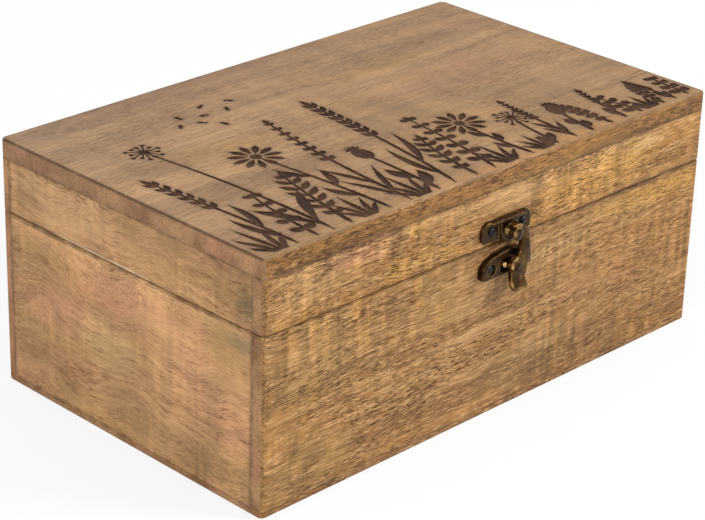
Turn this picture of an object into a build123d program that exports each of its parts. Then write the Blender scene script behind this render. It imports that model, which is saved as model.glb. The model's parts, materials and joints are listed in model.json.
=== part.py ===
from build123d import *
import os

# Keepsake box: a low hardwood box with a hinged lid and a swinging hook latch.
#
# Millimetres, +Z up. X runs along the box and Y from the front to the back. The origin is the
# centre of the base panel's underside. The latch is on the front face, the hinges on the back.
# The lid turns about the hinge pins and the hook turns about its rivet.

# ---------------------------------------------------------------- wooden box
box_length = 250.0
box_depth = 150.0
box_height = 105.0
split_height = 74.2  # top edge of the body's walls
lid_gap = 0.5  # open line between the body and the closed lid
front_thickness = 6.0
back_thickness = 5.2
end_thickness = 6.0
base_thickness = 3.0
top_thickness = 8.0
corner_radius = 2.5  # upright corners
arris_radius = 0.9  # long edges of the base panel and the top board
split_ease = 0.35  # worn edges along the split
joint_ease = 0.2  # fine groove where a wall meets the base panel or the top board
relief_chamfer = 2.2  # lower back edge of the lid, which leaves room for the hinge barrels

# ---------------------------------------------------------------- nails
nail_radius = 0.7
nail_point = 1.2
nail_fit = 0.02  # play between a nail and its hole
latch_nail_head = 1.8
latch_nail_dome = 1.2
hinge_nail_head = 1.5
hinge_nail_dome = 0.6
nail_depth = 3.8  # reach of a nail into the wood

# ---------------------------------------------------------------- hinges
hinge_spacing = 150.0  # between the middles of the two hinges
hinge_length = 25.0
leaf_height = 10.5  # from the pin's axis to the leaf's free edge
leaf_thickness = 0.9
leaf_corner = 1.5
barrel_radius = 1.5
barrel_offset = 0.25  # pin's axis behind the leaf's outer face
barrel_rise = 0.8  # pin's axis above the lid's lower edge
pin_radius = 0.7
pin_clearance = 0.05
knuckle_count = 5
knuckle_gap = 0.15  # end play on each side of a knuckle
notch_clearance = 0.3  # around the other leaf's knuckles
hinge_nail_spacing = 15.0
hinge_nail_reach = 6.6  # from the pin's axis to the nails

# ---------------------------------------------------------------- latch
latch_x = 1.5  # middle of the latch along the box
latch_width = 28.0
latch_nail_x = 9.0
plate_thickness = 3.0
plate_edge_round = 0.7

post_rise = 4.9  # post above the lid's lower edge
keeper_top = 5.5  # above the post
keeper_foot = 3.1  # lower edge of the ears, below the post
keeper_lobe = 4.8  # radius of the raised middle around the post
keeper_flange_width = 19.6  # raised strip along the top edge
keeper_flange_height = 1.7
keeper_ear = 1.6  # thickness of the low ears that the nails hold
keeper_ear_round = 0.6
keeper_shoulder = 4.0  # radius of the upper corners
keeper_corner = 2.5  # radius of the lower corners
keeper_nail_rise = 1.5
post_radius = 1.8
post_tail_radius = 1.2
post_flange_radius = 3.2
post_flange_height = 0.7
post_head_radius = 2.8
post_head_height = 1.1

pivot_drop = 8.9  # pivot below the body's top edge
pivot_offset = 2.1  # pivot to the right of the latch's middle
base_plate_top = 6.1  # crown of the arched top, above the pivot
base_plate_bottom = 4.1  # below the pivot
base_plate_foot = 1.6  # radius of the lower corners
base_pocket_radius = 2.4  # round pockets for the nails
pocket_floor = 1.5  # metal left under the nails
base_nail_drop = 0.1
recess_width = 8.6  # recess behind the hub
recess_height = 5.4
recess_corner = 0.5
recess_floor = 1.2
stop_ball_offset = 1.2  # ball to the left of the latch's middle
stop_ball_radius = 1.35
ball_stem_angle = -60.0  # where the ball meets its stem, from the ball's equator

hook_back = 4.3  # back of the hook in front of the wood
hook_thickness = 2.5
hook_edge_round = 0.5
hook_hub_radius = 3.3
hook_play = 0.3  # between the hook and the post or its head
hook_finger = 1.25  # thickness of the hook over the post
hook_tip_angle = 11.0  # tip of the finger, left of the pivot's vertical
hook_arm_outside = 6.4  # outer edge of the arm, right of the pivot
hook_arm_inside = 1.75  # inner edge of the arm where the bend ends
hook_notch_right = 0.65  # foot of the hollow beside the hub, right of the pivot
hook_notch_rise = 4.4  # and above the pivot
hub_shoulder_angle = 110.0  # where the hollow's edge leaves the hub, from +X
hook_tail = 3.4  # where the thumb tab starts, below the pivot
tab_width = 8.9
tab_inset = 0.5  # right edge of the thumb tab inside the arm's outer edge
tab_length = 7.4
tab_thickness = 1.8
tab_flare = 2.2  # how far the thumb tab's end stands out
tab_corner = 3.4
rivet_radius = 1.2
rivet_clearance = 0.05
rivet_tail_radius = 1.1
rivet_collar_radius = 1.6  # collar that holds the hook off the plate
rivet_head_radius = 2.2
rivet_head_height = 0.6
rivet_float = 0.1  # end play of the hook under the rivet's head

# ---------------------------------------------------------------- derived places
front_y = -box_depth / 2
back_y = box_depth / 2
lid_bottom = split_height + lid_gap
top_board_bottom = box_height - top_thickness
axis_y = back_y + leaf_thickness + barrel_offset
axis_z = lid_bottom + barrel_rise
post_z = lid_bottom + post_rise
pivot_z = split_height - pivot_drop
pivot_x = latch_x + pivot_offset
post_reach = Vector(pivot_offset, post_z - pivot_z).length  # from the pivot to the post
hook_front = hook_back + hook_thickness
head_back = hook_front + hook_play
hinge_centres = {"left": -hinge_spacing / 2, "right": hinge_spacing / 2}

os.makedirs("parts", exist_ok=True)


def save(piece, name):
    """Label a finished piece and write it to its own file."""
    piece.part.label = name
    export_step(piece.part, f"parts/{name}.step")


def face_plane(side, x, z, proud=0.0):
    """A plane on the front (side -1) or back (side 1) face, looking outwards, with Z up."""
    y = side * (box_depth / 2 + proud)
    return Plane(origin=(x, y, z), x_dir=(-side, 0, 0), z_dir=(0, side, 0))


# ================================================================ wood
def panel(name, bottom, thickness, outside, inside):
    """A full-size board that closes the box below or above.

    outside and inside are the groups of edges, -1 for the top and 0 for the bottom.
    """
    with BuildPart() as board:
        with BuildSketch(Plane.XY.offset(bottom)):
            Rectangle(box_length, box_depth)
        extrude(amount=thickness)
        fillet(board.edges().filter_by(Axis.Z), radius=corner_radius)
        fillet(board.edges().group_by(Axis.Z)[outside], radius=min(arris_radius, thickness / 3))
        chamfer(board.edges().group_by(Axis.Z)[inside], length=joint_ease)
    save(board, name)


def long_wall(name, side, thickness, bottom, top, split_group, nail_places):
    """A front (side -1) or back (side 1) board over the whole length of the box.

    split_group picks the edges along the split, and nail_places lists the nails' (x, z).
    """
    lid_back = side > 0 and split_group == 0
    with BuildPart() as board:
        with BuildSketch(Plane.XY.offset(bottom)):
            with Locations((0, side * (box_depth - thickness) / 2)):
                Rectangle(box_length, thickness)
        extrude(amount=top - bottom)
        if lid_back:
            relieved = board.edges().group_by(Axis.Z)[0].filter_by(Axis.X).sort_by(Axis.Y)[-1]
            chamfer(relieved, length=relief_chamfer)
        corners = board.edges().filter_by(Axis.Z).sort_by(Axis.Y)
        corners = corners[-2:] if side > 0 else corners[:2]
        fillet(corners, radius=min(corner_radius, 0.8 * thickness))
        if not lid_back:
            at_split = board.edges().group_by(Axis.Z)[split_group].sort_by(Axis.Y)
            chamfer(at_split[1:] if side > 0 else at_split[:-1], length=split_ease)
        at_panel = board.edges().group_by(Axis.Z)[-1 - split_group].sort_by(Axis.Y)
        chamfer(at_panel[1:] if side > 0 else at_panel[:-1], length=joint_ease)
        for x, z in nail_places:
            with BuildSketch(face_plane(side, x, z)):
                Circle(nail_radius + nail_fit)
            extrude(amount=-nail_depth - nail_fit, mode=Mode.SUBTRACT)
    save(board, name)


def end_wall(name, side, bottom, top, split_group):
    """A left (side -1) or right (side 1) board between the front and back boards."""
    width = box_depth - front_thickness - back_thickness
    middle = (front_thickness - back_thickness) / 2
    with BuildPart() as board:
        with BuildSketch(Plane.XY.offset(bottom)):
            with Locations((side * (box_length - end_thickness) / 2, middle)):
                Rectangle(end_thickness, width)
        extrude(amount=top - bottom)
        outer = board.edges().filter_by(Axis.Y).group_by(Axis.X)[-1 if side > 0 else 0]
        outer = outer.sort_by(Axis.Z)
        chamfer(outer[split_group], length=split_ease)
        chamfer(outer[-1 - split_group], length=joint_ease)
    save(board, name)


def nail_places(centre_x, spacing, z):
    """The two nails of a plate or leaf, either side of its middle."""
    return [(centre_x - spacing / 2, z), (centre_x + spacing / 2, z)]


keeper_nails = nail_places(latch_x, 2 * latch_nail_x, post_z + keeper_nail_rise)
base_nails = nail_places(latch_x, 2 * latch_nail_x, pivot_z - base_nail_drop)
body_hinge_nails = []
lid_hinge_nails = []
for centre in hinge_centres.values():
    body_hinge_nails += nail_places(centre, hinge_nail_spacing, axis_z - hinge_nail_reach)
    lid_hinge_nails += nail_places(centre, hinge_nail_spacing, axis_z + hinge_nail_reach)

panel("base_panel", 0, base_thickness, 0, -1)
panel("lid_top_board", top_board_bottom, top_thickness, -1, 0)

body = (base_thickness, split_height, -1)
lid = (lid_bottom, top_board_bottom, 0)
long_wall("body_front_board", -1, front_thickness, *body, base_nails)
long_wall("body_back_board", 1, back_thickness, *body, body_hinge_nails)
long_wall("lid_front_rail", -1, front_thickness, *lid, keeper_nails)
long_wall("lid_back_rail", 1, back_thickness, *lid, lid_hinge_nails)
for hand, side in (("left", -1), ("right", 1)):
    end_wall(f"body_{hand}_end", side, *body)
    end_wall(f"lid_{hand}_end", side, *lid)


# ================================================================ nails
def nails(name, side, places, seat, head_radius, dome):
    """Domed nails that hold a plate of thickness seat on the front or back face."""
    with BuildPart() as group:
        for x, z in places:
            origin = (x, side * box_depth / 2, z)
            section = Plane(origin=origin, x_dir=(1, 0, 0), z_dir=(0, 0, side))
            with BuildSketch(section):
                with BuildLine():
                    crown = (0, seat + dome)
                    rim = (head_radius, seat + dome / 4)
                    TangentArc(crown, rim, tangent=(1, 0))
                    Polyline(
                        rim,
                        (head_radius, seat),
                        (nail_radius, seat),
                        (nail_radius, nail_point - nail_depth),
                        (0, -nail_depth),
                        crown,
                    )
                make_face()
            revolve(axis=Axis(origin, (0, side, 0)))
    save(group, name)


nails("latch_keeper_nails", -1, keeper_nails, keeper_ear, latch_nail_head, latch_nail_dome)
nails("latch_base_nails", -1, base_nails, pocket_floor, latch_nail_head, latch_nail_dome)
nails("hinge_body_nails", 1, body_hinge_nails, leaf_thickness, hinge_nail_head, hinge_nail_dome)
nails("hinge_lid_nails", 1, lid_hinge_nails, leaf_thickness, hinge_nail_head, hinge_nail_dome)


# ================================================================ hinges
def hinge_leaf(name, centre, up, own):
    """One leaf on the back face: up is 1 for the lid's leaf and -1 for the body's.

    own lists the knuckles that this leaf carries, counted along +X.
    """
    pitch = hinge_length / knuckle_count
    start = centre - hinge_length / 2
    others = [k for k in range(knuckle_count) if k not in own]
    with BuildPart() as leaf:
        with BuildSketch(Plane.YZ.offset(start)):
            with Locations((back_y + leaf_thickness / 2, axis_z + up * leaf_height / 2)):
                Rectangle(leaf_thickness, leaf_height)
        extrude(amount=hinge_length)
        free_corners = leaf.edges().filter_by(Axis.Y).sort_by(Axis.Z)
        free_corners = free_corners[-2:] if up > 0 else free_corners[:2]
        fillet(free_corners, radius=leaf_corner)
        for k in own:
            with BuildSketch(Plane.YZ.offset(start + k * pitch)):
                with Locations((axis_y, axis_z)):
                    Circle(barrel_radius)
            extrude(amount=pitch)
        for k in others:
            with BuildSketch(Plane.YZ.offset(start + k * pitch - knuckle_gap)):
                with Locations((axis_y, axis_z)):
                    Rectangle(4 * barrel_radius, 2 * (barrel_radius + notch_clearance))
            extrude(amount=pitch + 2 * knuckle_gap, mode=Mode.SUBTRACT)
        with BuildSketch(Plane.YZ.offset(start)):
            with Locations((axis_y, axis_z)):
                Circle(pin_radius + pin_clearance)
        extrude(amount=hinge_length, mode=Mode.SUBTRACT)
        for x, z in nail_places(centre, hinge_nail_spacing, axis_z + up * hinge_nail_reach):
            with BuildSketch(face_plane(1, x, z)):
                Circle(nail_radius + nail_fit)
            extrude(amount=leaf_thickness, mode=Mode.SUBTRACT)
    save(leaf, name)


for hand, centre in hinge_centres.items():
    hinge_leaf(f"hinge_{hand}_body_leaf", centre, -1, range(0, knuckle_count, 2))
    hinge_leaf(f"hinge_{hand}_lid_leaf", centre, 1, range(1, knuckle_count, 2))
    with BuildPart() as hinge_pin:
        with BuildSketch(Plane.YZ.offset(centre - hinge_length / 2)):
            with Locations((axis_y, axis_z)):
                Circle(pin_radius)
        extrude(amount=hinge_length)
    save(hinge_pin, f"hinge_{hand}_pin")


# ================================================================ latch
def front_plane(x, z, proud=0.0):
    """A plane on the front face, centred on a part of the latch: X right, Y up, Z outwards."""
    return face_plane(-1, x, z, proud)


def front_section(x, z):
    """A plane through a round piece's axis that holds the front face's normal as its Y."""
    return Plane(origin=(x, front_y, z), x_dir=(1, 0, 0), z_dir=(0, 0, -1))


def front_axis(x, z):
    """An axis square to the front face."""
    return Axis((x, front_y, z), (0, -1, 0))


half_width = latch_width / 2

# The keeper: two low ears for the nails, with a raised strip and a raised middle on them.
keeper_height = keeper_top + keeper_foot
with BuildPart() as latch_keeper_plate:
    with BuildSketch(front_plane(latch_x, post_z)) as ears:
        with Locations((0, keeper_top - keeper_height / 2)):
            Rectangle(latch_width, keeper_height)
        fillet(ears.vertices().group_by(Axis.Y)[-1], radius=keeper_shoulder)
        fillet(ears.vertices().group_by(Axis.Y)[0], radius=keeper_corner)
    extrude(amount=keeper_ear)
    fillet(latch_keeper_plate.faces().sort_by(Axis.Y)[0].edges(), radius=keeper_ear_round)
    with BuildSketch(front_plane(latch_x, post_z)):
        with Locations((0, keeper_top - keeper_flange_height / 2)):
            Rectangle(keeper_flange_width, keeper_flange_height)
        with Locations((0, keeper_top / 2)):
            Rectangle(2 * keeper_lobe, keeper_top)
        Circle(keeper_lobe)
    extrude(amount=plate_thickness)
    fillet(latch_keeper_plate.faces().sort_by(Axis.Y)[0].edges(), radius=plate_edge_round)
    with BuildSketch(front_plane(latch_x, post_z)):
        with Locations((-latch_nail_x, keeper_nail_rise), (latch_nail_x, keeper_nail_rise)):
            Circle(nail_radius + nail_fit)
        Circle(post_tail_radius)
    extrude(amount=plate_thickness, mode=Mode.SUBTRACT)
save(latch_keeper_plate, "latch_keeper_plate")

with BuildPart() as latch_keeper_post:
    with BuildSketch(front_section(latch_x, post_z)):
        with BuildLine():
            crown = (0, head_back + post_head_height)
            rim = (post_head_radius, head_back + 0.6 * post_head_height)
            TangentArc(crown, rim, tangent=(1, 0))
            Polyline(
                rim,
                (post_head_radius, head_back),
                (post_radius, head_back),
                (post_radius, plate_thickness + post_flange_height),
                (post_flange_radius, plate_thickness),
                (post_tail_radius, plate_thickness),
                (post_tail_radius, 0),
                (0, 0),
                crown,
            )
        make_face()
    revolve(axis=front_axis(latch_x, post_z))
save(latch_keeper_post, "latch_keeper_post")

ball_x = -stop_ball_offset
ball_foot = Vector(stop_ball_radius, 0).rotate(Axis.Z, ball_stem_angle)
ball_centre = recess_floor - ball_foot.Y
with BuildPart() as latch_base_plate:
    with BuildSketch(front_plane(latch_x, pivot_z)) as outline:
        with BuildLine():
            EllipticalCenterArc((0, 0), half_width, base_plate_top, start_angle=0, arc_size=180)
            Polyline(
                (-half_width, 0),
                (-half_width, -base_plate_bottom),
                (half_width, -base_plate_bottom),
                (half_width, 0),
            )
        make_face()
        fillet(outline.vertices().group_by(Axis.Y)[0], radius=base_plate_foot)
    extrude(amount=plate_thickness)
    fillet(latch_base_plate.faces().sort_by(Axis.Y)[0].edges(), radius=plate_edge_round)
    with BuildSketch(front_plane(latch_x, pivot_z, plate_thickness)):
        with Locations((-latch_nail_x, -base_nail_drop), (latch_nail_x, -base_nail_drop)):
            Circle(base_pocket_radius)
    extrude(amount=pocket_floor - plate_thickness, mode=Mode.SUBTRACT)
    with BuildSketch(front_plane(latch_x, pivot_z, plate_thickness)):
        RectangleRounded(recess_width, recess_height, recess_corner)
    extrude(amount=recess_floor - plate_thickness, mode=Mode.SUBTRACT)
    with BuildSketch(front_plane(latch_x, pivot_z)):
        with Locations((-latch_nail_x, -base_nail_drop), (latch_nail_x, -base_nail_drop)):
            Circle(nail_radius + nail_fit)
        with Locations((pivot_offset, 0)):
            Circle(rivet_tail_radius)
        with Locations((ball_x, 0)):
            Circle(ball_foot.X)
    extrude(amount=plate_thickness, mode=Mode.SUBTRACT)
save(latch_base_plate, "latch_base_plate")

with BuildPart() as latch_stop_ball:
    with BuildSketch(front_section(latch_x + ball_x, pivot_z)):
        with BuildLine():
            ball = CenterArc(
                (0, ball_centre), stop_ball_radius, ball_stem_angle, 90 - ball_stem_angle
            )
            Polyline(ball @ 1, (0, 0), (ball_foot.X, 0), ball @ 0)
        make_face()
    revolve(axis=front_axis(latch_x + ball_x, pivot_z))
save(latch_stop_ball, "latch_stop_ball")

# The rivet: a tail in the plate, a collar behind the hook, a shank and a low domed head.
collar_top = hook_back - rivet_float / 2
rivet_head = hook_front + rivet_float / 2
with BuildPart() as latch_pivot_rivet:
    with BuildSketch(front_section(pivot_x, pivot_z)):
        with BuildLine():
            crown = (0, rivet_head + rivet_head_height)
            TangentArc(crown, (rivet_head_radius, rivet_head), tangent=(1, 0))
            Polyline(
                (rivet_head_radius, rivet_head),
                (rivet_radius, rivet_head),
                (rivet_radius, collar_top),
                (rivet_collar_radius, collar_top),
                (rivet_collar_radius, recess_floor),
                (rivet_tail_radius, recess_floor),
                (rivet_tail_radius, 0),
                (0, 0),
                crown,
            )
        make_face()
    revolve(axis=front_axis(pivot_x, pivot_z))
save(latch_pivot_rivet, "latch_pivot_rivet")

# The hook: a hub on the rivet, an arm that rises on the right and bends over the post as a
# thin finger, and a thumb tab that flares outwards below. Its mouth is open to the left, so
# it swings clear of the post to the right.
finger_inside = post_reach + post_radius + hook_play
finger_outside = finger_inside + hook_finger
tip_inside = Vector(0, finger_inside).rotate(Axis.Z, hook_tip_angle)
tip_outside = Vector(0, finger_outside).rotate(Axis.Z, hook_tip_angle)
bend_outside = (0.48 * hook_arm_outside, 0.91 * finger_outside)
bend_outside_end = (0.74 * hook_arm_outside, 0.79 * finger_outside)
bend_inside = (0, 0.95 * finger_inside)
bend_inside_end = (hook_arm_inside, 0.81 * finger_inside)
arm_foot = (hook_arm_outside, hook_arm_outside / 6)
tab_right = hook_arm_outside - tab_inset
notch = (hook_notch_right, hook_notch_rise)
hub_shoulder = Vector(hook_hub_radius, 0).rotate(Axis.Z, hub_shoulder_angle)
tab_top = hook_back + tab_thickness / 2
with BuildPart() as latch_hook:
    with BuildSketch(front_plane(pivot_x, pivot_z, hook_back)):
        with BuildLine():
            Line(tip_inside, tip_outside)
            outer_bend = ThreePointArc(tip_outside, bend_outside, bend_outside_end)
            TangentArc(bend_outside_end, arm_foot, tangent=outer_bend % 1)
            Polyline(
                arm_foot,
                (tab_right, -hook_tail - tab_thickness),
                (tab_right - tab_width, -hook_tail),
                (0, 0),
                hub_shoulder,
                notch,
            )
            inner_bend = ThreePointArc(tip_inside, bend_inside, bend_inside_end)
            TangentArc(bend_inside_end, notch, tangent=inner_bend % 1)
        make_face()
        Circle(hook_hub_radius)
    extrude(amount=hook_thickness)
    fillet(latch_hook.faces().sort_by(Axis.Y)[0].edges(), radius=hook_edge_round)
    # the thumb tab is a curved sheet, drawn from the side: X outwards, Y up
    tab_side = Plane(
        origin=(pivot_x + tab_right, front_y, pivot_z), x_dir=(0, -1, 0), z_dir=(-1, 0, 0)
    )
    with BuildSketch(tab_side):
        with BuildLine():
            ThreePointArc(
                (tab_top, -hook_tail + tab_thickness),
                (tab_top + tab_flare / 6, -hook_tail - 0.4 * tab_length),
                (tab_top + tab_flare, -hook_tail - tab_length),
            )
        trace(line_width=tab_thickness)
    extrude(amount=tab_width)
    tab_edges = latch_hook.edges().filter_by(lambda e: abs(e.length - tab_thickness) < 0.01)
    fillet(tab_edges.sort_by(Axis.Z)[:2], radius=tab_corner)
    with BuildSketch(front_plane(pivot_x, pivot_z, hook_back)):
        Circle(rivet_radius + rivet_clearance)
    extrude(amount=hook_thickness, mode=Mode.SUBTRACT)
save(latch_hook, "latch_hook")
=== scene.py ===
"""Wooden keepsake box with an engraved meadow on its hinged lid and an antique brass hook latch."""
import json
import math

import bmesh
import bpy
from mathutils import Matrix, Vector, kdtree
from mathutils.geometry import delaunay_2d_cdt

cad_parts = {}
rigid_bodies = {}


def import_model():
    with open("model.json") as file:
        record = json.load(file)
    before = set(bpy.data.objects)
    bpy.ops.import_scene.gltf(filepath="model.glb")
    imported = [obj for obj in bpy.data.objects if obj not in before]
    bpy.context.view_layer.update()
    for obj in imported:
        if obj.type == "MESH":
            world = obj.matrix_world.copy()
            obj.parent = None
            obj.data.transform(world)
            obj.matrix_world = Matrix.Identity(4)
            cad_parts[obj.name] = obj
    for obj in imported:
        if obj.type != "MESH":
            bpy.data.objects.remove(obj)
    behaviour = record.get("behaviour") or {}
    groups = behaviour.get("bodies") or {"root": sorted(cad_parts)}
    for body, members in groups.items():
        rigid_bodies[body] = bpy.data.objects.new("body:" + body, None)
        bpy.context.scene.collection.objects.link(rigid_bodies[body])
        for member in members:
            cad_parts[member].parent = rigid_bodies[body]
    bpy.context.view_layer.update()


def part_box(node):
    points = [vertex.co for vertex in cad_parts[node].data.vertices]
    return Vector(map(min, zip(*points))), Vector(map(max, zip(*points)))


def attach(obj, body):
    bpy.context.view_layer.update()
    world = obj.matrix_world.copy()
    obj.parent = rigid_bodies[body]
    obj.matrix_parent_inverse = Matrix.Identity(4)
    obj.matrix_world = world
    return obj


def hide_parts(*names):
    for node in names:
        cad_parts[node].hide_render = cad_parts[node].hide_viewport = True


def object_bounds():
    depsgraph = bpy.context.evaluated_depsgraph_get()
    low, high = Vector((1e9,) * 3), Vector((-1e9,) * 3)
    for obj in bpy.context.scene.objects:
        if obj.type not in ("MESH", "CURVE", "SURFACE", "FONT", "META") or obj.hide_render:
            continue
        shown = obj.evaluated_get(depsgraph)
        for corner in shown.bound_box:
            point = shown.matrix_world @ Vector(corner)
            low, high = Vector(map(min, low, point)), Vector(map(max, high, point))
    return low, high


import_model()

# The scene is in metres, but lengths are written in millimetres where no comment says otherwise.
MM = 0.001


def srgb(red, green, blue):
    """The linear colour of a screen colour given from 0 to 255."""
    def linear(value):
        value = value / 255
        return value / 12.92 if value <= 0.04045 else ((value + 0.055) / 1.055) ** 2.4
    return (linear(red), linear(green), linear(blue), 1.0)


# ---------------------------------------------------------------- node trees

class Shader:
    """Adds nodes to one new material and wires them together. Its places are in millimetres."""

    def __init__(self, name):
        self.material = bpy.data.materials.new(name)
        self.material.use_nodes = True
        self.tree = self.material.node_tree
        self.tree.nodes.clear()
        texcoord = self.tree.nodes.new("ShaderNodeTexCoord")
        self.place = self.scaled(texcoord.outputs["Object"], (1000, 1000, 1000))
        self.normal = texcoord.outputs["Normal"]

    def wire(self, value, socket):
        """Links a socket to another, or sets a plain value on it."""
        if isinstance(value, bpy.types.NodeSocket):
            self.tree.links.new(value, socket)
        else:
            socket.default_value = value

    def node(self, kind, inputs=(), **settings):
        made = self.tree.nodes.new(kind)
        for key, value in settings.items():
            setattr(made, key, value)
        for key, value in dict(inputs).items():
            self.wire(value, made.inputs[key])
        return made

    def math(self, operation, first, second=0.0, clamp=False):
        made = self.node("ShaderNodeMath", {0: first, 1: second},
                         operation=operation, use_clamp=clamp)
        return made.outputs[0]

    def chain(self, operation, values):
        """One operation over any number of values, from the first to the last."""
        total = values[0]
        for value in values[1:]:
            total = self.math(operation, total, value)
        return total

    def add(self, *values):
        return self.chain("ADD", values)

    def times(self, *values):
        return self.chain("MULTIPLY", values)

    def most(self, *values):
        return self.chain("MAXIMUM", values)

    def least(self, *values):
        return self.chain("MINIMUM", values)

    def less(self, first, second):
        return self.math("SUBTRACT", first, second)

    def size(self, value):
        return self.math("ABSOLUTE", value)

    def scaled(self, vector, factors):
        made = self.node("ShaderNodeVectorMath", {0: vector, 1: factors}, operation="MULTIPLY")
        return made.outputs[0]

    def split(self, vector):
        return self.node("ShaderNodeSeparateXYZ", {0: vector}).outputs

    def join(self, *parts):
        return self.node("ShaderNodeCombineXYZ", dict(enumerate(parts))).outputs[0]

    def noise(self, vector, frequency, detail=2.0, roughness=0.5, distortion=0.0):
        """Noise from 0 to 1 whose features per millimetre are given for each axis."""
        made = self.node("ShaderNodeTexNoise", {
            "Vector": self.scaled(vector, frequency), "Scale": 1.0, "Detail": detail,
            "Roughness": roughness, "Distortion": distortion})
        return made.outputs["Fac"]

    def swing(self, vector, frequency, detail=2.0, roughness=0.5):
        """The same noise, from -0.5 to 0.5."""
        return self.less(self.noise(vector, frequency, detail, roughness), 0.5)

    def step(self, value, start, end, low=0.0, high=1.0):
        """A smooth, clamped step from low to high as the value goes from start to end."""
        made = self.node("ShaderNodeMapRange", {
            "Value": value, "From Min": start, "From Max": end, "To Min": low, "To Max": high},
            interpolation_type="SMOOTHSTEP", clamp=True)
        return made.outputs[0]

    def mix(self, factor, first, second, blend="MIX"):
        """Two colours mixed. The node's sockets 0, 6, 7 and 2 are those it has for colours."""
        made = self.node("ShaderNodeMix", data_type="RGBA", blend_type=blend, clamp_factor=True)
        self.wire(factor, made.inputs[0])
        self.wire(first, made.inputs[6])
        self.wire(second, made.inputs[7])
        return made.outputs[2]

    def grey(self, value):
        return self.node("ShaderNodeCombineColor", {0: value, 1: value, 2: value}).outputs[0]

    def finish(self, color, roughness, height, depth, normal=None, **constants):
        """Ends the tree in a Principled shader, with bump of a depth given in millimetres."""
        bump = self.node("ShaderNodeBump", {
            "Strength": 1.0, "Distance": depth * MM, "Height": height})
        if normal:
            self.wire(normal, bump.inputs["Normal"])
        surface = self.node("ShaderNodeBsdfPrincipled", {
            "Base Color": color, "Roughness": roughness, "Normal": bump.outputs[0]})
        for key, value in constants.items():
            surface.inputs[key.replace("_", " ")].default_value = value
        self.node("ShaderNodeOutputMaterial", {"Surface": surface.outputs[0]})
        return self.material


# ---------------------------------------------------------------------- wood

# The tints of the front and back, of the ends, of the lid's top, and of that board's narrow sides.
FRONT = dict(light=srgb(199, 158, 108), mid=srgb(157, 114, 67), dark=srgb(126, 86, 45),
             pore=srgb(74, 42, 16), yellow=srgb(182, 134, 68), pink=srgb(158, 108, 68))
SIDE = dict(light=srgb(192, 151, 105), mid=srgb(177, 136, 93), dark=srgb(156, 114, 76),
            pore=srgb(108, 67, 40), yellow=srgb(176, 139, 84), pink=srgb(183, 131, 97))
# The top's tints are greyed, partly as the wood's own colour and partly as painted sheen.
TOP = dict(light=srgb(180, 142, 101), mid=srgb(162, 126, 87), dark=srgb(139, 106, 72),
           pore=srgb(112, 81, 54), yellow=srgb(184, 142, 88), pink=srgb(164, 122, 89))
STRIP = dict(light=srgb(184, 136, 80), mid=srgb(151, 104, 54), dark=srgb(117, 75, 36),
             pore=srgb(62, 35, 14), yellow=srgb(184, 136, 62), pink=srgb(152, 104, 66))
# Tints that dirt, end grain, coloured places (a few of them painted shadow and shade), a painted
# highlight and burning lay over them.
GRIME = srgb(70, 46, 29)
END_GRAIN = srgb(171, 130, 92)
END_DARK = srgb(124, 87, 56)
END_PALE = srgb(198, 156, 108)
OLIVE = srgb(144, 114, 70)
GREEN = srgb(112, 98, 70)
AMBER = srgb(206, 158, 76)
ORANGE = srgb(190, 136, 76)
PALE = srgb(226, 190, 132)
WHEAT = srgb(196, 156, 98)
BROWN = srgb(136, 98, 62)
HONEY = srgb(154, 109, 56)
ROSE = srgb(190, 136, 106)
UMBER = srgb(100, 67, 42)
HIGHLIGHT_TINT = srgb(236, 214, 188)
SCORCHED = srgb(66, 44, 30)
CHAR = srgb(54, 38, 29)
ASH = srgb(86, 61, 45)
SOOT = srgb(46, 31, 24)

# Which of the box's axes run along the grain, across the board and into it.
LENGTHWISE = (0, 2, 1)
SIDEWAYS = (1, 2, 0)
FLAT = (0, 1, 2)
# The outermost X, Y and Z of the wooden box.
OUTSIDE = (125, 75, 105)


def side_distances(shader, parts, low, high):
    """How far inside the board's box a point is, in millimetres, along each of the three axes."""
    near = []
    for part, start, end in zip(parts, low, high):
        middle, half = (start + end) / 2, (end - start) / 2
        near.append(shader.less(half, shader.size(shader.less(part, middle))))
    return near


def edge_distance(shader, near):
    """The distance in millimetres from a point of the board's surface to its nearest edge."""
    larger = shader.most(near[0], near[1])
    smaller = shader.least(near[0], near[1])
    return shader.most(smaller, shader.least(larger, near[2]))


def squared_reach(shader, along, across, centre, radii):
    """The squared distance from the centre of an ellipse, which is 1 on the ellipse."""
    first = shader.math("DIVIDE", shader.less(along, centre[0]), radii[0])
    second = shader.math("DIVIDE", shader.less(across, centre[1]), radii[1])
    return shader.add(shader.times(first, first), shader.times(second, second))


def blot(shader, along, across, wander, centre, radii):
    """A soft-edged spot on the face of a board, from 0 to 1."""
    reach = shader.math("SQRT", squared_reach(shader, along, across, centre, radii))
    return shader.step(shader.add(reach, wander), 1.25, 0.35)


def swell(shader, along, across, centre, radii, height):
    """A smooth hump, in millimetres, that pushes the grain sideways round one place."""
    squares = squared_reach(shader, along, across, centre, radii)
    return shader.times(shader.math("POWER", math.e, shader.times(squares, -1.0)), height)


def grain_place(shader, seeded, along, across, flow, curl, lean, swells):
    """Where a point lies in the grain, whose lines sway, curl, slant and bend round the swells."""
    sway = shader.swing(seeded, (0.007, 0.022, 0.022), 1.0)
    wave = shader.swing(seeded, (0.050, 0.014, 0.014), 1.5)
    ripple = shader.swing(seeded, (0.16, 0.05, 0.03), 1.0)
    shift = shader.add(shader.times(sway, flow * 4), shader.times(wave, curl * 4),
                       shader.times(ripple, curl))
    for centre, radii, height in swells:
        shift = shader.add(shift, swell(shader, along, across, centre, radii, height))
    base = shader.split(seeded)
    return shader.join(shader.add(base[0], shader.times(base[1], lean)),
                       shader.add(base[1], shift),
                       shader.add(base[2], shader.times(shift, 0.6)))


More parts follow.
